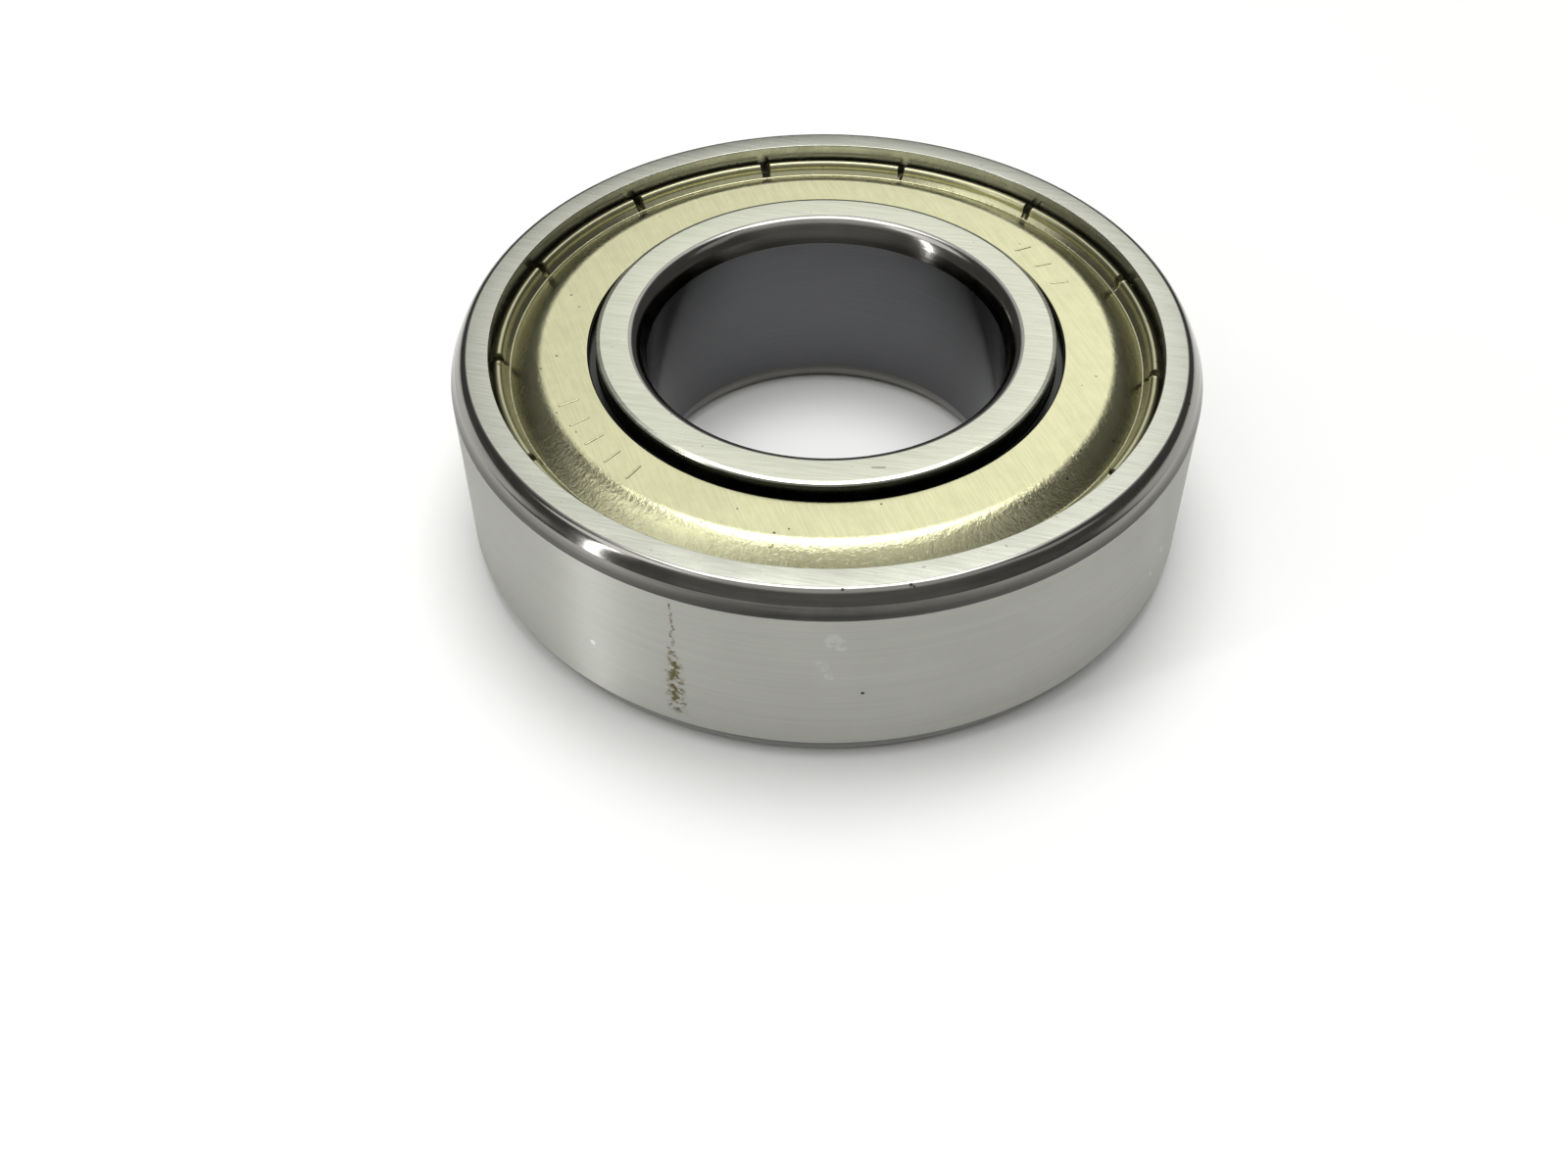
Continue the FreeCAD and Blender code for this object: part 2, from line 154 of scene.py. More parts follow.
def rounded(points, step=11.0):
    """Closed section with every flagged corner rounded. Each point is
    (r, z, fillet radius, finish of the stretch that starts there). Returns
    rows (r, z, normal r, normal z, finish), the inside on the left."""
    n = len(points)
    rows = []
    for i in range(n):
        r0, z0 = points[i - 1][:2]
        r1, z1, fillet, finish = points[i]
        r2, z2 = points[(i + 1) % n][:2]
        before = points[i - 1][3]
        d1 = Vector((r1 - r0, z1 - z0))
        d2 = Vector((r2 - r1, z2 - z1))
        l1, l2 = d1.length, d2.length
        d1.normalize()
        d2.normalize()
        turn = math.atan2(d1.x * d2.y - d1.y * d2.x, d1.dot(d2))
        if fillet <= 0 or abs(turn) < math.radians(1.0):
            d = (d1 + d2).normalized()
            rows.append((r1, z1, d.y, -d.x, finish))
            continue
        t = min(fillet * math.tan(abs(turn) / 2), 0.48 * l1, 0.48 * l2)
        radius = t / math.tan(abs(turn) / 2)
        side = 1 if turn > 0 else -1
        p = Vector((r1, z1)) - d1 * t
        centre = p + Vector((-d1.y, d1.x)) * radius * side
        count = max(2, int(math.ceil(abs(math.degrees(turn)) / step)))
        start = math.atan2(p.y - centre.y, p.x - centre.x)
        for k in range(count + 1):
            a = start + turn * k / count
            nx, nz = math.cos(a) * side, math.sin(a) * side
            tag = before if k < count / 2 else finish
            if k == count:
                tag = finish
            rows.append((centre.x + radius * math.cos(a), centre.y + radius * math.sin(a), nx, nz, tag))
    return rows


def lathe(mesh, rows, count, finishes, sweep=None):
    """Turns a closed section round the Z axis."""
    angles = sweep or [2 * math.pi * k / count for k in range(count)]
    grid = []
    for a in angles:
        c, s = math.cos(a), math.sin(a)
        grid.append([mesh.vert(r * c, r * s, z) for r, z, _, _, _ in rows])
    m = len(rows)
    for k in range(len(angles)):
        k2 = (k + 1) % len(angles)
        c1, s1, c2, s2 = math.cos(angles[k]), math.sin(angles[k]), math.cos(angles[k2]), math.sin(angles[k2])
        for j in range(m):
            j2 = (j + 1) % m
            n1, n2 = rows[j][2:4], rows[j2][2:4]
            mesh.face(
                (grid[k][j], grid[k2][j], grid[k2][j2], grid[k][j2]),
                [
                    (n1[0] * c1, n1[0] * s1, n1[1]),
                    (n1[0] * c2, n1[0] * s2, n1[1]),
                    (n2[0] * c2, n2[0] * s2, n2[1]),
                    (n2[0] * c1, n2[0] * s1, n2[1]),
                ],
                finishes.index(rows[j][4]),
            )


# ---------------------------------------------------------------------------
# materials
# ---------------------------------------------------------------------------


class Graph:
    """A short way to write a node tree for one metal finish."""

    def __init__(self, name):
        self.mat = bpy.data.materials.new(name)
        self.mat.use_nodes = True
        self.tree = self.mat.node_tree
        self.tree.nodes.clear()
        self.out = self.new("ShaderNodeOutputMaterial")
        self.bsdf = self.new("ShaderNodeBsdfPrincipled")
        self.link(self.bsdf.outputs[0], self.out.inputs["Surface"])
        coord = self.new("ShaderNodeTexCoord")
        self.p = self.vec("SCALE", coord.outputs["Object"], scale=1000.0)
        split = self.new("ShaderNodeSeparateXYZ")
        self.link(self.p, split.inputs[0])
        self.x, self.y, self.z = split.outputs
        self.r = self.math("SQRT", self.math("ADD", self.math("MULTIPLY", self.x, self.x), self.math("MULTIPLY", self.y, self.y)))
        self.cx = self.math("DIVIDE", self.x, self.math("MAXIMUM", self.r, 0.01))
        self.cy = self.math("DIVIDE", self.y, self.math("MAXIMUM", self.r, 0.01))

    def new(self, kind):
        return self.tree.nodes.new(kind)

    def link(self, a, b):
        self.tree.links.new(a, b)

    def put(self, socket, value):
        if isinstance(value, bpy.types.NodeSocket):
            self.link(value, socket)
        else:
            socket.default_value = value

    def math(self, op, a, b=None, c=None, clamp=False):
        node = self.new("ShaderNodeMath")
        node.operation = op
        node.use_clamp = clamp
        self.put(node.inputs[0], a)
        if b is not None:
            self.put(node.inputs[1], b)
        if c is not None:
            self.put(node.inputs[2], c)
        return node.outputs[0]

    def vec(self, op, a, b=None, scale=None):
        node = self.new("ShaderNodeVectorMath")
        node.operation = op
        self.put(node.inputs[0], a)
        if b is not None:
            self.put(node.inputs[1], b)
        if scale is not None:
            node.inputs["Scale"].default_value = scale
        return node.outputs[0]

    def xyz(self, x, y, z):
        node = self.new("ShaderNodeCombineXYZ")
        for socket, value in zip(node.inputs, (x, y, z)):
            self.put(socket, value)
        return node.outputs[0]

    def noise(self, vector, scale=1.0, detail=2.0, rough=0.5, offset=None):
        if offset:
            vector = self.vec("ADD", vector, offset)
        node = self.new("ShaderNodeTexNoise")
        self.link(vector, node.inputs["Vector"])
        node.inputs["Scale"].default_value = scale
        node.inputs["Detail"].default_value = detail
        node.inputs["Roughness"].default_value = rough
        return node.outputs[0]

    def ramp(self, value, lo, hi, out_lo=0.0, out_hi=1.0, smooth=True):
        node = self.new("ShaderNodeMapRange")
        node.interpolation_type = "SMOOTHSTEP" if smooth else "LINEAR"
        self.put(node.inputs[0], value)
        for k, v in enumerate((lo, hi, out_lo, out_hi)):
            node.inputs[k + 1].default_value = v
        return node.outputs[0]

    def mix(self, factor, a, b):
        node = self.new("ShaderNodeMix")
        node.data_type = "RGBA"
        self.put(node.inputs[0], factor)
        for socket, value in ((node.inputs[6], a), (node.inputs[7], b)):
            self.put(socket, value if isinstance(value, bpy.types.NodeSocket) else (*value, 1.0))
        return node.outputs[2]

    def tint(self, colour, factor):
        """Colour times a grey factor."""
        node = self.new("ShaderNodeMix")
        node.data_type = "RGBA"
        node.blend_type = "MULTIPLY"
        node.inputs[0].default_value = 1.0
        grey = self.xyz(factor, factor, factor)
        self.put(node.inputs[6], colour if isinstance(colour, bpy.types.NodeSocket) else (*colour, 1.0))
        self.link(grey, node.inputs[7])
        return node.outputs[2]

    def spots(self, points):
        """Mask of round marks, each (x, y, z, radius) in mm."""
        total = None
        for x, y, z, radius in points:
            node = self.new("ShaderNodeVectorMath")
            node.operation = "DISTANCE"
            self.link(self.p, node.inputs[0])
            node.inputs[1].default_value = (x, y, z)
            mask = self.ramp(node.outputs["Value"], radius, radius * 0.5)
            total = mask if total is None else self.math("MAXIMUM", total, mask)
        return total

    def lines(self, degrees, along, across, detail=2.0, offset=(0, 0, 0)):
        """Noise drawn out into straight lines in the XY plane."""
        a = math.radians(degrees)
        u = self.math("ADD", self.math("MULTIPLY", self.x, math.cos(a)), self.math("MULTIPLY", self.y, math.sin(a)))
        v = self.math("ADD", self.math("MULTIPLY", self.x, -math.sin(a)), self.math("MULTIPLY", self.y, math.cos(a)))
        vector = self.xyz(self.math("MULTIPLY", u, along), self.math("MULTIPLY", v, across), 0.0)
        return self.noise(vector, 1.0, detail, 0.55, offset)

    def turned(self, round_scale, cross_scale, detail=2.0, offset=(0, 0, 0)):
        """Noise drawn out into rings round the Z axis."""
        w = self.math("ADD", self.math("MULTIPLY", self.r, cross_scale), self.math("MULTIPLY", self.z, cross_scale * 0.93))
        vector = self.xyz(self.math("MULTIPLY", self.cx, round_scale), self.math("MULTIPLY", self.cy, round_scale), w)
        return self.noise(vector, 1.0, detail, 0.55, offset)

    def rounds(self, round_scale, cross_scale, detail=2.0, offset=(0, 0, 0)):
        """Noise drawn out round the cylinder: lines at constant height."""
        vector = self.xyz(self.math("MULTIPLY", self.cx, round_scale), self.math("MULTIPLY", self.cy, round_scale), self.math("MULTIPLY", self.z, cross_scale))
        return self.noise(vector, 1.0, detail, 0.55, offset)

    def bump(self, layers):
        """Stack of (height, distance in mm) bumps."""
        last = None
        for height, distance in layers:
            node = self.new("ShaderNodeBump")
            node.inputs["Strength"].default_value = 1.0
            node.inputs["Distance"].default_value = distance * MM
            self.link(height, node.inputs["Height"])
            if last is not None:
                self.link(last, node.inputs["Normal"])
            last = node.outputs[0]
        self.link(last, self.bsdf.inputs["Normal"])

    def surface(self, colour, roughness, metallic=1.0, anisotropic=0.0, around=False):
        self.put(self.bsdf.inputs["Base Color"], colour if isinstance(colour, bpy.types.NodeSocket) else (*colour, 1.0))
        self.put(self.bsdf.inputs["Roughness"], roughness)
        self.put(self.bsdf.inputs["Metallic"], metallic)
        if anisotropic:
            self.bsdf.inputs["Anisotropic"].default_value = anisotropic
            self.bsdf.inputs["Anisotropic Rotation"].default_value = 0.25
            tangent = self.new("ShaderNodeTangent")
            tangent.direction_type = "RADIAL"
            tangent.axis = "Z"
            self.link(tangent.outputs[0], self.bsdf.inputs["Tangent"])


def ground_face(name, tone, seed, marks=()):
    """Side faces of the rings: ground with long straight strokes."""
    g = Graph(name)
    fine = g.lines(168.0 + seed, 0.30, 7.0, 3.0, (seed, 0, 0))
    broad = g.lines(165.0 + seed, 0.10, 2.0, 2.0, (7, 3 + seed, 0))
    cross = g.lines(118.0, 0.25, 5.0, 2.0, (2, 9, 0))
    cloud = g.noise(g.p, 0.35, 3.0, 0.6)
    speck = g.ramp(g.noise(g.p, 2.6, 2.0, 0.6, (3, 1, 5 + seed)), 0.71, 0.76)
    value = g.math("ADD", g.ramp(fine, 0.25, 0.75, 0.88, 1.06), g.math("MULTIPLY", g.math("SUBTRACT", cloud, 0.5), 0.14))
    value = g.math("ADD", value, g.math("MULTIPLY", g.math("SUBTRACT", broad, 0.5), 0.20))
    colour = g.mix(speck, g.tint(tone, value), (0.30, 0.29, 0.25))
    if marks:
        colour = g.mix(g.spots(marks), colour, (0.16, 0.15, 0.12))
    rough = g.math("ADD", g.ramp(cloud, 0.3, 0.7, 0.20, 0.26), g.math("MULTIPLY", fine, 0.05))
    g.surface(colour, rough)
    g.bump([(broad, 0.0030), (fine, 0.0012), (cross, 0.0006)])
    return g.mat


def outside_wall():
    """Outside diameter: centreless ground, faint rings, handling marks."""
    g = Graph("ring_outside")
    rings = g.rounds(2.5, 16.0, 3.0)
    bands = g.rounds(1.2, 1.6, 2.0, (4, 4, 4))
    cloud = g.noise(g.p, 0.22, 3.0, 0.55)
    value = g.math("ADD", g.ramp(rings, 0.25, 0.75, 0.95, 1.04), g.math("MULTIPLY", g.math("SUBTRACT", bands, 0.5), 0.10))
    value = g.math("ADD", value, g.math("MULTIPLY", g.math("SUBTRACT", cloud, 0.5), 0.14))
    colour = g.tint((0.510, 0.514, 0.472), value)
    smudge = g.math("MULTIPLY", g.spots([
        (*polar(271.8, OUTSIDE, 4.0), 0.85), (*polar(272.6, OUTSIDE, 3.5), 0.55),
        (*polar(270.1, OUTSIDE, 1.7), 0.60), (*polar(271.2, OUTSIDE, 0.8), 0.45),
    ]), g.ramp(g.noise(g.p, 2.2, 3.0, 0.6, (11, 5, 2)), 0.40, 0.62))
    colour = g.mix(g.math("MULTIPLY", smudge, 0.40), colour, (0.74, 0.74, 0.72))
    dots = g.spots([
        (*polar(235.5, OUTSIDE, -1.5), 0.28), (*polar(331.9, OUTSIDE, -1.4), 0.30), (*polar(328.8, OUTSIDE, -2.6), 0.22),
    ])
    colour = g.mix(g.math("MULTIPLY", dots, 0.6), colour, (0.85, 0.85, 0.84))
    colour = g.mix(g.spots([(*polar(275.8, OUTSIDE, -0.9), 0.16)]), colour, (0.05, 0.05, 0.045))
    # a run of dried oil down the wall
    angle = g.math("ARCTAN2", g.y, g.x)
    middle = math.radians(-110.8)
    drift = g.math("MULTIPLY", g.math("SUBTRACT", g.noise(g.xyz(0.0, 0.0, g.z), 1.1, 3.0, 0.7), 0.5), 0.075)
    off = g.math("ABSOLUTE", g.math("SUBTRACT", g.math("SUBTRACT", angle, middle), drift))
    wide = g.ramp(g.z, 3.0, -2.2, 0.004, 0.030)
    streak = g.math("SUBTRACT", 1.0, g.math("DIVIDE", off, wide), clamp=True)
    grit = g.ramp(g.noise(g.p, 2.4, 3.0, 0.7, (1, 2, 3)), 0.44, 0.60)
    fade = g.math("MULTIPLY", g.ramp(g.z, -5.3, -4.2), g.ramp(g.z, 5.8, 5.0))
    stain = g.math("MULTIPLY", g.math("MULTIPLY", streak, grit), fade)
    stain = g.math("MULTIPLY", stain, 1.6, clamp=True)
    colour = g.mix(stain, colour, (0.215, 0.190, 0.095))
    rough = g.math("ADD", g.ramp(cloud, 0.3, 0.7, 0.40, 0.45), g.math("MULTIPLY", stain, 0.2))
    g.surface(colour, rough, anisotropic=0.93)
    g.bump([(bands, 0.0012), (rings, 0.0003)])
    return g.mat


def dark_corner(name, facet):
    """Turned ring corners, left dark by the heat treatment; the narrow lower
    strip is painted shade: lighter beside the arc and darker beside the wall."""
    g = Graph(name)
    rings = g.turned(3.0, 9.0, 3.0)
    fine = g.turned(6.0, 30.0, 2.0, (5, 5, 5))
    cloud = g.noise(g.p, 0.5, 3.0, 0.6)
    value = g.math("ADD", g.ramp(rings, 0.25, 0.75, 0.85, 1.12), g.math("MULTIPLY", g.math("SUBTRACT", cloud, 0.5), 0.2))
    if facet:
        # painted shade: the strip is darkened towards the wall and lightened beside the arc
        value = g.math("MULTIPLY", value, g.ramp(g.math("ABSOLUTE", g.z), 5.95, 6.62, 0.45, 1.05))
    colour = g.tint((0.280, 0.273, 0.252), value)
    if not facet:
        nicks = [(*polar(282.2, 25.00, 7.43), 0.16), (*polar(282.6, 25.12, 7.36), 0.10), (*polar(272.8, 24.96, 7.45), 0.14), (*polar(343.0, 25.20, 7.30), 0.15)]
        colour = g.mix(g.spots(nicks), colour, (0.06, 0.06, 0.055))
    g.surface(colour, g.ramp(cloud, 0.3, 0.7, 0.13, 0.18), anisotropic=0.3)
    g.bump([(rings, 0.0014), (fine, 0.0005)])
    return g.mat


def honed_bore():
    """Bore: honed close to a mirror; its very dark base colour is painted shade."""
    g = Graph("ring_bore_painted_shade")
    rings = g.rounds(2.0, 10.0, 3.0)
    cloud = g.noise(g.p, 0.3, 3.0, 0.55)
    value = g.math("ADD", g.ramp(rings, 0.25, 0.75, 0.94, 1.04), g.math("MULTIPLY", g.math("SUBTRACT", cloud, 0.5), 0.08))
    # painted shade: the base colour is kept far darker than steel so the bore reads as a dark reflection
    g.surface(g.tint((0.100, 0.101, 0.106), value), g.ramp(cloud, 0.3, 0.7, 0.14, 0.18), anisotropic=0.90)
    g.bump([(rings, 0.0004)])
    return g.mat


def turned_wall(name, tone):
    """Lip, shield seat and land: fine turned, oily; the dark tones they are given are painted shade for the gaps they
    sit in.
    """
    g = Graph(name)
    rings = g.turned(3.0, 12.0, 3.0)
    cloud = g.noise(g.p, 0.4, 3.0, 0.6)
    g.surface(g.tint(tone, g.ramp(rings, 0.25, 0.75, 0.85, 1.1)), g.ramp(cloud, 0.3, 0.7, 0.20, 0.30), anisotropic=0.3)
    g.bump([(rings, 0.0020)])
    return g.mat


def raceway():
    """Raceways: superfinished, with a faint running band."""
    g = Graph("ring_raceway")
    rings = g.rounds(2.0, 14.0, 2.0)
    band = g.ramp(g.math("ABSOLUTE", g.z), 0.6, 1.4)
    g.surface(g.mix(band, g.tint((0.50, 0.50, 0.49), g.ramp(rings, 0.25, 0.75, 0.95, 1.03)), (0.60, 0.60, 0.585)), g.ramp(band, 0.0, 1.0, 0.12, 0.08))
    g.bump([(rings, 0.0003)])
    return g.mat


def pressed_sheet():
    """Shields: rolled sheet steel with an olive passivation; the roll lines
    run straight across, and the bent zones have an orange peel grain."""
    g = Graph("shield_sheet")
    fine = g.lines(110.0, 0.35, 7.0, 3.0)
    broad = g.lines(112.0, 0.10, 1.5, 2.0, (5, 8, 0))
    cloud = g.noise(g.p, 0.25, 3.0, 0.6)
    bent = g.math("MULTIPLY", g.ramp(g.r, 19.4, 20.3), g.ramp(g.r, 22.3, 21.8))
    peel = g.noise(g.p, 2.8, 4.0, 0.7)
    mottle = g.noise(g.p, 0.9, 3.0, 0.6, (6, 2, 8))
    value = g.math("ADD", g.ramp(fine, 0.25, 0.75, 0.94, 1.04), g.math("MULTIPLY", g.math("SUBTRACT", cloud, 0.5), 0.20))
    value = g.math("ADD", value, g.math("MULTIPLY", g.math("SUBTRACT", mottle, 0.5), 0.16))
    value = g.math("ADD", value, g.math("MULTIPLY", g.math("SUBTRACT", broad, 0.5), 0.14))
    # painted shade: the trough and the curled rim are painted darker, standing in for the shade and dark reflections
    # they catch
    value = g.math("MULTIPLY", value, g.ramp(g.r, 20.5, 21.6, 1.0, 0.68))
    pit = g.ramp(g.noise(g.p, 1.7, 2.0, 0.5, (9, 4, 1)), 0.735, 0.765)
    colour = g.mix(pit, g.tint((0.560, 0.548, 0.345), value), (0.20, 0.18, 0.10))
    top = HALF - 0.88
    specks = [(165.8, 18.86, 0.11), (169.5, 17.87, 0.09), (187.1, 18.66, 0.12), (190.8, 19.77, 0.10), (205.0, 19.64, 0.09),
              (261.2, 19.62, 0.13), (263.7, 19.14, 0.10), (252.7, 18.10, 0.09)]
    specks += [(316.0 + 0.55 * k, 20.35 - 0.018 * k, 0.08) for k in range(7)]
    colour = g.mix(g.spots([(*polar(a, r, top), size) for a, r, size in specks]), colour, (0.13, 0.12, 0.07))
    g.surface(colour, g.math("ADD", g.ramp(cloud, 0.3, 0.7, 0.18, 0.22), g.ramp(g.r, 22.1, 22.4, 0.0, 0.10)))
    g.bump([(broad, 0.0030), (fine, 0.0010), (g.math("MULTIPLY", peel, bent), 0.0420), (peel, 0.0012)])
    return g.mat


def cage_strip():
    g = Graph("cage_strip")
    fine = g.noise(g.p, 4.0, 3.0, 0.6)
    cloud = g.noise(g.p, 0.6, 3.0, 0.6)
    g.surface(g.tint((0.50, 0.49, 0.45), g.ramp(cloud, 0.3, 0.7, 0.85, 1.08)), g.ramp(fine, 0.3, 0.7, 0.30, 0.42))
    g.bump([(fine, 0.0030)])
    return g.mat


def lapped_ball():
    g = Graph("ball_lapped")
    fine = g.noise(g.p, 6.0, 2.0, 0.5)
    cloud = g.noise(g.p, 0.8, 3.0, 0.6)
    g.surface(g.tint((0.66, 0.66, 0.65), g.ramp(cloud, 0.3, 0.7, 0.97, 1.02)), g.ramp(fine, 0.3, 0.7, 0.05, 0.08))
    g.bump([(fine, 0.0001)])
    return g.mat


def rivet_steel():
    g = Graph("rivet_steel")
    fine = g.noise(g.p, 5.0, 3.0, 0.6)
    g.surface(g.tint((0.54, 0.53, 0.50), g.ramp(fine, 0.3, 0.7, 0.88, 1.06)), g.ramp(fine, 0.3, 0.7, 0.28, 0.40))
    g.bump([(fine, 0.0040)])
    return g.mat


def floor_paint():
    g = Graph("studio_floor")
    cloud = g.noise(g.p, 0.02, 3.0, 0.5)
    g.surface(g.tint((0.90, 0.90, 0.89), g.ramp(cloud, 0.3, 0.7, 0.99, 1.01)), 0.65, metallic=0.0)
    g.bump([(g.noise(g.p, 1.2, 3.0, 0.6), 0.004)])
    return g.mat


HALF = 7.5
OUTSIDE = 26.0
SCRATCH = [(*polar(285.2 - 0.375 * k, 14.76 - 0.022 * k, HALF), 0.075) for k in range(9)]

MAT = {
    "face": ground_face("ring_outer_face", (0.495, 0.505, 0.435), 0.0),
    "inner_face": ground_face("ring_inner_face", (0.560, 0.570, 0.475), 4.0, SCRATCH),
    "outside": outside_wall(),
    "corner": dark_corner("ring_corner", False),
    "facet": dark_corner("ring_corner_strip_painted_shade", True),
    "bore": honed_bore(),
    # painted shade: the land is given a near-black tone for the shaded gap under the shield
    "turned": turned_wall("ring_land_painted_shade", (0.050, 0.052, 0.049)),
    # painted shade: the lip and seat are darkened for the shaded gap between ring and shield
    "lip": turned_wall("ring_lip_painted_shade", (0.280, 0.285, 0.268)),
    "race": raceway(),
    "sheet": pressed_sheet(),
    "cage": cage_strip(),
    "ball": lapped_ball(),
    "rivet": rivet_steel(),
}

# ---------------------------------------------------------------------------
# rings
# ---------------------------------------------------------------------------

PITCH = 19.25
BALL = 3.969
GAP = 0.010
BORE = 12.5
LIP = 23.25
SEAT = 23.43
LEDGE = 5.25


def outer_ring():
    groove = 4.207
    centre = PITCH + BALL + GAP - groove
    shoulder = 21.35
    race = math.sqrt(groove**2 - (shoulder - centre) ** 2)
    upper = [(OUTSIDE, 5.76, 0.04, "facet"), (25.62, 6.62, 0.05, "corner")]
    upper += curve_between((25.62, 6.62), (24.74, HALF), 180.0 - 56.0, 180.0 - 4.0, 0.42, 0.50, 18, "corner")
    upper += [
        (24.74, HALF, 0.0, "face"),
        (LIP, HALF, 0.07, "lip"),
        (LIP, 6.30, 0.08, "lip"),
        (SEAT, 6.05, 0.06, "lip"),
        (SEAT, LEDGE, 0.10, "lip"),
        (shoulder, LEDGE, 0.15, "lip"),
        (shoulder, race, 0.06, "race"),
    ]
    angle = math.degrees(math.asin(race / groove))
    middle = arc(centre, 0.0, groove, angle, -angle, 26, "race")
    lower = mirrored(upper)
    lower[-1] = (*lower[-1][:3], "outside")
    mesh = Mesh()
    finishes = ["outside", "corner", "facet", "face", "lip", "race"]
    lathe(mesh, rounded(upper + middle + lower), 400, finishes)
    obj = mesh.build("outer_ring_turned", [MAT[f] for f in finishes])
    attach(obj, "outer_ring")
    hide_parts("outer_ring")
    return obj


def inner_ring():
    groove = 4.090
    centre = PITCH - BALL - GAP + groove
    shoulder = 17.15
    race = math.sqrt(groove**2 - (shoulder - centre) ** 2)
    upper = [
        (shoulder, race, 0.06, "turned"),
        (shoulder, 5.85, 0.15, "turned"),
        (15.95, 5.85, 0.10, "turned"),
        (15.95, 7.34, 0.04, "inner_face"),
        (15.86, 7.445, 0.05, "inner_face"),
        (15.61, HALF, 0.05, "inner_face"),
        (13.70, HALF, 0.0, "corner"),
    ]
    upper += curve_between((13.70, HALF), (12.81, 6.66), 180.0 + 4.0, 180.0 + 67.0, 0.50, 0.36, 18, "corner")
    upper += [(12.81, 6.66, 0.05, "facet")]
    upper += [(BORE, 5.82, 0.04, "bore")]
    angle = 180.0 - math.degrees(math.asin(race / groove))
    middle = arc(centre, 0.0, groove, 360.0 - angle, angle, 26, "race")
    lower = mirrored(upper)
    lower[-1] = (*lower[-1][:3], "race")
    mesh = Mesh()
    finishes = ["bore", "corner", "facet", "inner_face", "turned", "race"]
    lathe(mesh, rounded(upper + lower + middle), 360, finishes)
    obj = mesh.build("inner_ring_turned", [MAT[f] for f in finishes])
    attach(obj, "inner_ring")
    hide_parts("inner_ring")
    return obj


# ---------------------------------------------------------------------------
# shields
# ---------------------------------------------------------------------------

NOTCHES = 13
FIRST_NOTCH = 75.3
SPLIT = 22.05
# plain strokes without meaning, where the real shield is stamped
STROKES = [
    (203.0, 18.6, 1.5, 8.0), (209.5, 18.6, 1.5, 8.0), (216.0, 18.6, 1.5, 8.0), (222.5, 18.6, 1.5, 8.0), (229.0, 18.6, 1.5, 8.0),
    (22.0, 18.1, 1.3, -12.0), (29.5, 18.1, 1.3, -12.0), (37.0, 18.1, 1.3, -12.0),
]


def shield_section():
    gauge = 0.30
    top = HALF - 0.88
    # the bend tightens at its start: two arcs that meet at a common tangent
    tight, wide, turn, slope = 1.80, 3.60, 18.0, 32.0
    start = 19.55
    st, ct = math.sin(math.radians(turn)), math.cos(math.radians(turn))
    s, c, t = math.sin(math.radians(slope)), math.cos(math.radians(slope)), math.tan(math.radians(slope))
    c1 = (start, top - tight)
    c2 = (c1[0] - (wide - tight) * st, c1[1] - (wide - tight) * ct)
    knee = (c2[0] + wide * s, c2[1] + wide * c)
    under = (c2[0] + (wide - gauge) * s, c2[1] + (wide - gauge) * c)
    foot = under[0] + (under[1] - LEDGE) / t
    wall = 22.35
    crest = 0.37
    crest_z = HALF - 1.05 - crest
    f = "sheet"
    pts = [(16.50, top - gauge, 0.05, f), (start, top - gauge, 0.0, f)]
    pts += arc(*c1, tight - gauge, 90, 90 - turn, 4, f)
    pts += [(c1[0] + (tight - gauge) * st, c1[1] + (tight - gauge) * ct, 0.0, f)]
    pts += arc(*c2, wide - gauge, 90 - turn, 90 - slope, 4, f)
    pts += [
        (under[0], under[1], 0.0, f),
        (foot, LEDGE, 0.12, f),
        (SPLIT, LEDGE, 0.0, f),
        (SEAT - 0.12, LEDGE, 0.05, f),
        (SEAT, LEDGE + 0.14, 0.05, f),
        (SEAT, HALF - 1.84, 0.10, f),
        (wall + 2 * crest, HALF - 1.52, 0.15, f),
        (wall + 2 * crest, crest_z, 0.0, f),
    ]
    pts += arc(wall + crest, crest_z, crest, 0, 180, 16, f)
    pts += [
        (wall, crest_z, 0.0, f),
        (wall, 5.92, 0.30, f),
        (21.97, 5.545, 0.16, f),
        (knee[0], knee[1], 0.0, f),
    ]
    pts += arc(*c2, wide, 90 - slope, 90 - turn, 6, f)
    pts += [(c1[0] + tight * st, c1[1] + tight * ct, 0.0, f)]
    pts += arc(*c1, tight, 90 - turn, 90, 6, f)
    pts += [(start, top, 0.0, f), (18.2, top, 0.0, f), (16.50, top, 0.20, f)]
    return rounded(pts, step=9.0)


def stroke(mesh, azimuth, radius, length, turn):
    """A short plain raised bar with round ends on the flat of the shield."""
    top = HALF - 0.88
    a = math.radians(azimuth)
    d = math.radians(azimuth + turn)
    rings = []
    for half, z, lean in ((0.095, top - 0.03, 0.0), (0.095, top + 0.003, 0.35), (0.068, top + 0.035, 0.70), (0.036, top + 0.050, 1.0)):
        ids, normals = [], []
        for k in range(16):
            end = 1 if k < 8 else -1
            phi = math.radians(-90 + 180 * (k % 8) / 7 + (0 if k < 8 else 180))
            u = end * (length / 2 - 0.085) + half * math.cos(phi)
            v = half * math.sin(phi)
            x = radius * math.cos(a) + u * math.cos(d) - v * math.sin(d)
            y = radius * math.sin(a) + u * math.sin(d) + v * math.cos(d)
            ids.append(mesh.vert(x, y, z))
            flat = math.sqrt(1 - lean * lean)
            normals.append((flat * math.cos(phi + d), flat * math.sin(phi + d), lean))
        rings.append((ids, normals))
    for (lower, n1), (upper, n2) in zip(rings, rings[1:]):
        for k in range(16):
            j = (k + 1) % 16
            mesh.face((lower[k], lower[j], upper[j], upper[k]), [n1[k], n1[j], n2[j], n2[k]])
    mesh.face(rings[-1][0], [(0, 0, 1)] * 16)
    mesh.face(rings[0][0][::-1], [(0, 0, -1)] * 16)


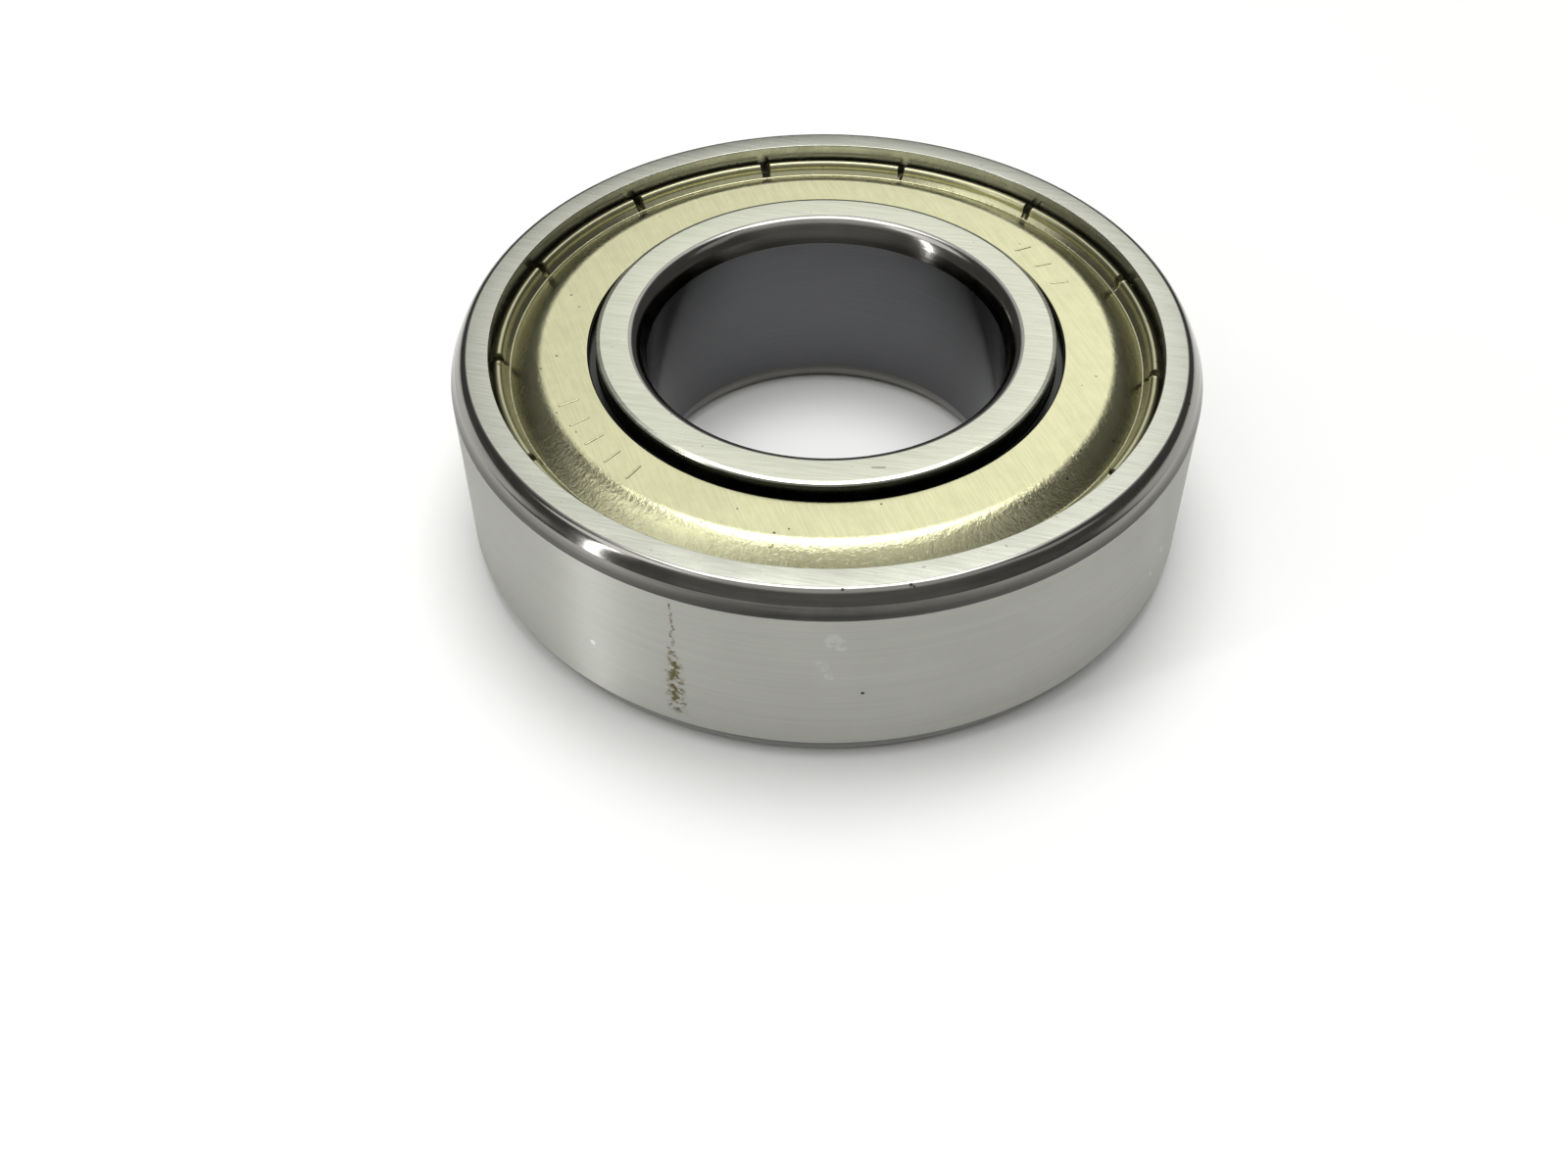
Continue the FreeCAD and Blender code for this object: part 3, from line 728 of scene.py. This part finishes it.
def shield(name, body_node, flip):
    """Turned sheet with a curled rim; the rim is missing at each notch and
    closed there with flat cut faces."""
    rows = shield_section()
    m = len(rows)
    # rim rows run from the bottom split point, outwards and over, to the top one
    low = next(j for j in range(m) if abs(rows[j][0] - SPLIT) < 1e-6 and rows[j][1] < LEDGE + 0.01)
    high = min(
        (j for j in range(low + 1, m) if rows[j][1] < 6.2 and rows[j][0] < 22.4 and rows[j][3] > 0.2),
        key=lambda j: abs(rows[j][0] - (SPLIT + 0.02)),
    )
    per = 34
    stations = []  # (angle, kind): kind -1 left side of a notch, +1 right side
    for k in range(NOTCHES):
        middle = math.radians(FIRST_NOTCH + 360.0 / NOTCHES * k)
        nxt = math.radians(FIRST_NOTCH + 360.0 / NOTCHES * (k + 1))
        edge = math.asin(0.25 / 22.6)
        stations.append((middle, -1))
        stations.append((middle, 1))
        for i in range(1, per):
            stations.append((middle + edge + (nxt - middle - 2 * edge) * i / per, 0))

    def half_width(j):
        r, z = rows[j][0], rows[j][1]
        if r > 22.72 and z > 5.4:
            return 0.30
        return 0.17 + 0.12 * max(0.0, min(1.0, (z - 5.6) / 0.85))

    mesh = Mesh()
    grid, heading = [], []
    for angle, kind in stations:
        col, turns = [], []
        for j in range(m):
            r, z = rows[j][0], rows[j][1]
            a = angle + kind * math.asin(half_width(j) / r)
            col.append(mesh.vert(r * math.cos(a), r * math.sin(a), z))
            turns.append(a)
        grid.append(col)
        heading.append(turns)

    def corner(k, j):
        a = heading[k][j]
        nr, nz = rows[j][2], rows[j][3]
        return (nr * math.cos(a), nr * math.sin(a), nz)

    total = len(stations)
    for k in range(total):
        k2 = (k + 1) % total
        in_notch = stations[k][1] == -1
        for j in range(m):
            j2 = (j + 1) % m
            if in_notch and low <= j < high:
                continue
            mesh.face(
                (grid[k][j], grid[k2][j], grid[k2][j2], grid[k][j2]),
                [corner(k, j), corner(k2, j), corner(k2, j2), corner(k, j2)],
            )
        if in_notch:
            mesh.flat((grid[k][low], grid[k2][low], grid[k2][high], grid[k][high]))
            ring = list(range(low, high + 1))
            mesh.flat([grid[k][j] for j in ring])
            mesh.flat([grid[k2][j] for j in reversed(ring)])
    for azimuth, radius, length, turn in STROKES:
        stroke(mesh, azimuth, radius, length, turn)
    obj = mesh.build(name, [MAT["sheet"]])
    if flip:
        obj.data.transform(Matrix.Rotation(math.pi, 4, "X"))
    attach(obj, "outer_ring")
    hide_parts(body_node)
    return obj


# ---------------------------------------------------------------------------
# balls, cage and rivets
# ---------------------------------------------------------------------------


def ball(index):
    """Sphere made of six equal patches, so that it has no poles."""
    azimuth = math.radians(40.0 * (index - 1))
    centre = Vector((PITCH * math.cos(azimuth), PITCH * math.sin(azimuth), 0.0))
    mesh = Mesh()
    seen = {}
    steps = 22

    def point(v):
        n = v.normalized()
        key = (round(n.x, 6), round(n.y, 6), round(n.z, 6))
        if key not in seen:
            p = centre + n * BALL
            seen[key] = (mesh.vert(p.x, p.y, p.z), tuple(n))
        return seen[key]

    for axis in range(3):
        for side in (-1, 1):
            def spot(i, j):
                u = math.tan(math.radians(-45 + 90 * i / steps))
                w = math.tan(math.radians(-45 + 90 * j / steps))
                v = [0, 0, 0]
                v[axis] = side
                v[(axis + 1) % 3] = u * side
                v[(axis + 2) % 3] = w
                return point(Vector(v))

            for i in range(steps):
                for j in range(steps):
                    q = [spot(i, j), spot(i + 1, j), spot(i + 1, j + 1), spot(i, j + 1)]
                    mesh.face([a[0] for a in q], [a[1] for a in q])
    name = "ball_%d" % index
    obj = mesh.build(name + "_lapped", [MAT["ball"]])
    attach(obj, name)
    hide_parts(name)
    return obj


def finish_carried_nodes():
    for name, node in frame["nodes"].items():
        if name.startswith("cage_rivet"):
            key = "rivet"
        elif name.startswith("cage"):
            key = "cage"
        else:
            continue
        node.data.materials.clear()
        node.data.materials.append(MAT[key])


outer_ring()
inner_ring()
shield("upper_shield_pressed", "upper_shield", False)
shield("lower_shield_pressed", "lower_shield", True)
for number in range(1, 10):
    ball(number)
finish_carried_nodes()

# ---------------------------------------------------------------------------
# floor, light and camera
# ---------------------------------------------------------------------------


def floor():
    mesh = Mesh()
    size, count = 2400.0, 16
    ids = [[mesh.vert(-size + 2 * size * i / count, -size + 2 * size * j / count, -HALF) for j in range(count + 1)] for i in range(count + 1)]
    for i in range(count):
        for j in range(count):
            mesh.face((ids[i][j], ids[i + 1][j], ids[i + 1][j + 1], ids[i][j + 1]), [(0, 0, 1)] * 4)
    obj = mesh.build("studio_floor", [floor_paint()])


def world():
    """Soft studio surroundings: bright beyond the bearing and overhead,
    darker low down and behind the camera."""
    w = bpy.data.worlds.new("studio")
    bpy.context.scene.world = w
    w.use_nodes = True
    tree = w.node_tree
    tree.nodes.clear()
    out = tree.nodes.new("ShaderNodeOutputWorld")
    back = tree.nodes.new("ShaderNodeBackground")
    tree.links.new(back.outputs[0], out.inputs[0])
    coord = tree.nodes.new("ShaderNodeTexCoord")
    split = tree.nodes.new("ShaderNodeSeparateXYZ")
    tree.links.new(coord.outputs["Generated"], split.inputs[0])
    x, y, z = split.outputs

    def put(socket, value):
        if isinstance(value, bpy.types.NodeSocket):
            tree.links.new(value, socket)
        else:
            socket.default_value = value

    def calc(op, a, b):
        node = tree.nodes.new("ShaderNodeMath")
        node.operation = op
        put(node.inputs[0], a)
        put(node.inputs[1], b)
        return node.outputs[0]

    def ramp(value, lo, hi, out_lo, out_hi):
        node = tree.nodes.new("ShaderNodeMapRange")
        node.interpolation_type = "SMOOTHSTEP"
        put(node.inputs[0], value)
        for k, v in enumerate((lo, hi, out_lo, out_hi)):
            node.inputs[k + 1].default_value = v
        return node.outputs[0]

    # a tall bright window on the far side, a little stronger to the right
    side = calc("ABSOLUTE", x, 0.0)
    window = calc("MULTIPLY", ramp(z, 0.40, 0.52, 0.0, 1.0), ramp(y, 0.05, 0.25, 0.0, 1.0))
    window = calc("MULTIPLY", window, ramp(side, 0.46, 0.22, 0.0, 1.0))
    window = calc("MULTIPLY", window, calc("ADD", calc("MULTIPLY", x, 0.85), 1.0))
    # a weaker glow on the near side, mostly high up
    near = calc("MULTIPLY", ramp(y, 0.05, -0.10, 0.0, 1.0), ramp(side, 0.80, 0.45, 0.0, 1.0))
    near = calc("MULTIPLY", near, ramp(z, 0.62, 0.86, 0.14, 1.0))
    level = calc("ADD", calc("MULTIPLY", window, WORLD["window"]), calc("MULTIPLY", near, WORLD["near"]))
    level = calc("ADD", level, WORLD["room"])
    mix = tree.nodes.new("ShaderNodeCombineXYZ")
    for socket, gain in zip(mix.inputs, (1.0, 1.0, 0.985)):
        put(socket, calc("MULTIPLY", level, gain))
    tree.links.new(mix.outputs[0], back.inputs[0])
    back.inputs[1].default_value = 1.0


def area(name, where, size, power, tone=(1, 1, 1), target=(0, 0, 0)):
    light = bpy.data.lights.new(name, "AREA")
    light.shape = "RECTANGLE"
    light.size, light.size_y = size
    light.energy = power
    light.color = tone
    obj = bpy.data.objects.new(name, light)
    bpy.context.scene.collection.objects.link(obj)
    obj.location = where
    direction = Vector(target) - Vector(where)
    obj.rotation_euler = direction.to_track_quat("-Z", "Y").to_euler()
    return obj


def camera():
    """Camera on the near side, 40.4 degrees above the bearing's mid plane."""
    focal, distance, elevation, roll, u0, v0 = 1738.6, 0.12406, 40.388, -0.794, 841.44, 419.36
    e = math.radians(elevation)
    back = Vector((0.0, -math.cos(e), math.sin(e)))
    right = Vector((1.0, 0.0, 0.0))
    up = right.cross(-back)
    base = Matrix((right, up, back))
    v = Vector(((u0 - 800.0) / focal, -(v0 - 600.0) / focal, -1.0)).normalized()
    pan = Vector((0.0, 0.0, -1.0)).rotation_difference(v).to_matrix()
    spin = Matrix.Rotation(math.radians(roll), 3, "Z")
    world_to_cam = pan @ spin @ base
    data = bpy.data.cameras.new("camera")
    data.sensor_fit = "HORIZONTAL"
    data.sensor_width = 36.0
    data.lens = focal * 36.0 / 1600.0
    data.clip_start, data.clip_end = 0.005, 10.0
    obj = bpy.data.objects.new("camera", data)
    bpy.context.scene.collection.objects.link(obj)
    obj.matrix_world = Matrix.Translation(back * distance) @ world_to_cam.transposed().to_4x4()
    bpy.context.scene.camera = obj


WORLD = {"window": 1.22, "near": 0.72, "room": 0.11}
floor()
world()
area("softbox_over", (0.00, 0.114, 0.482), (0.30, 0.235), 1.00)
area("strip_left", (-0.42, -0.22, 0.17), (0.020, 0.30), 0.34)
area("soft_left", (-0.29, -0.06, 0.40), (0.25, 0.25), 0.31)
area("fill_right", (0.45, -0.10, 0.40), (0.20, 0.20), 0.05)
wash = area("floor_wash", (0.10, -0.15, 1.10), (1.2, 1.2), 3.8)
wash.visible_glossy = False
camera()

scene = bpy.context.scene
scene.view_settings.view_transform = "Standard"
scene.view_settings.look = "None"
scene.view_settings.exposure = 0.0
scene.view_settings.gamma = 1.0
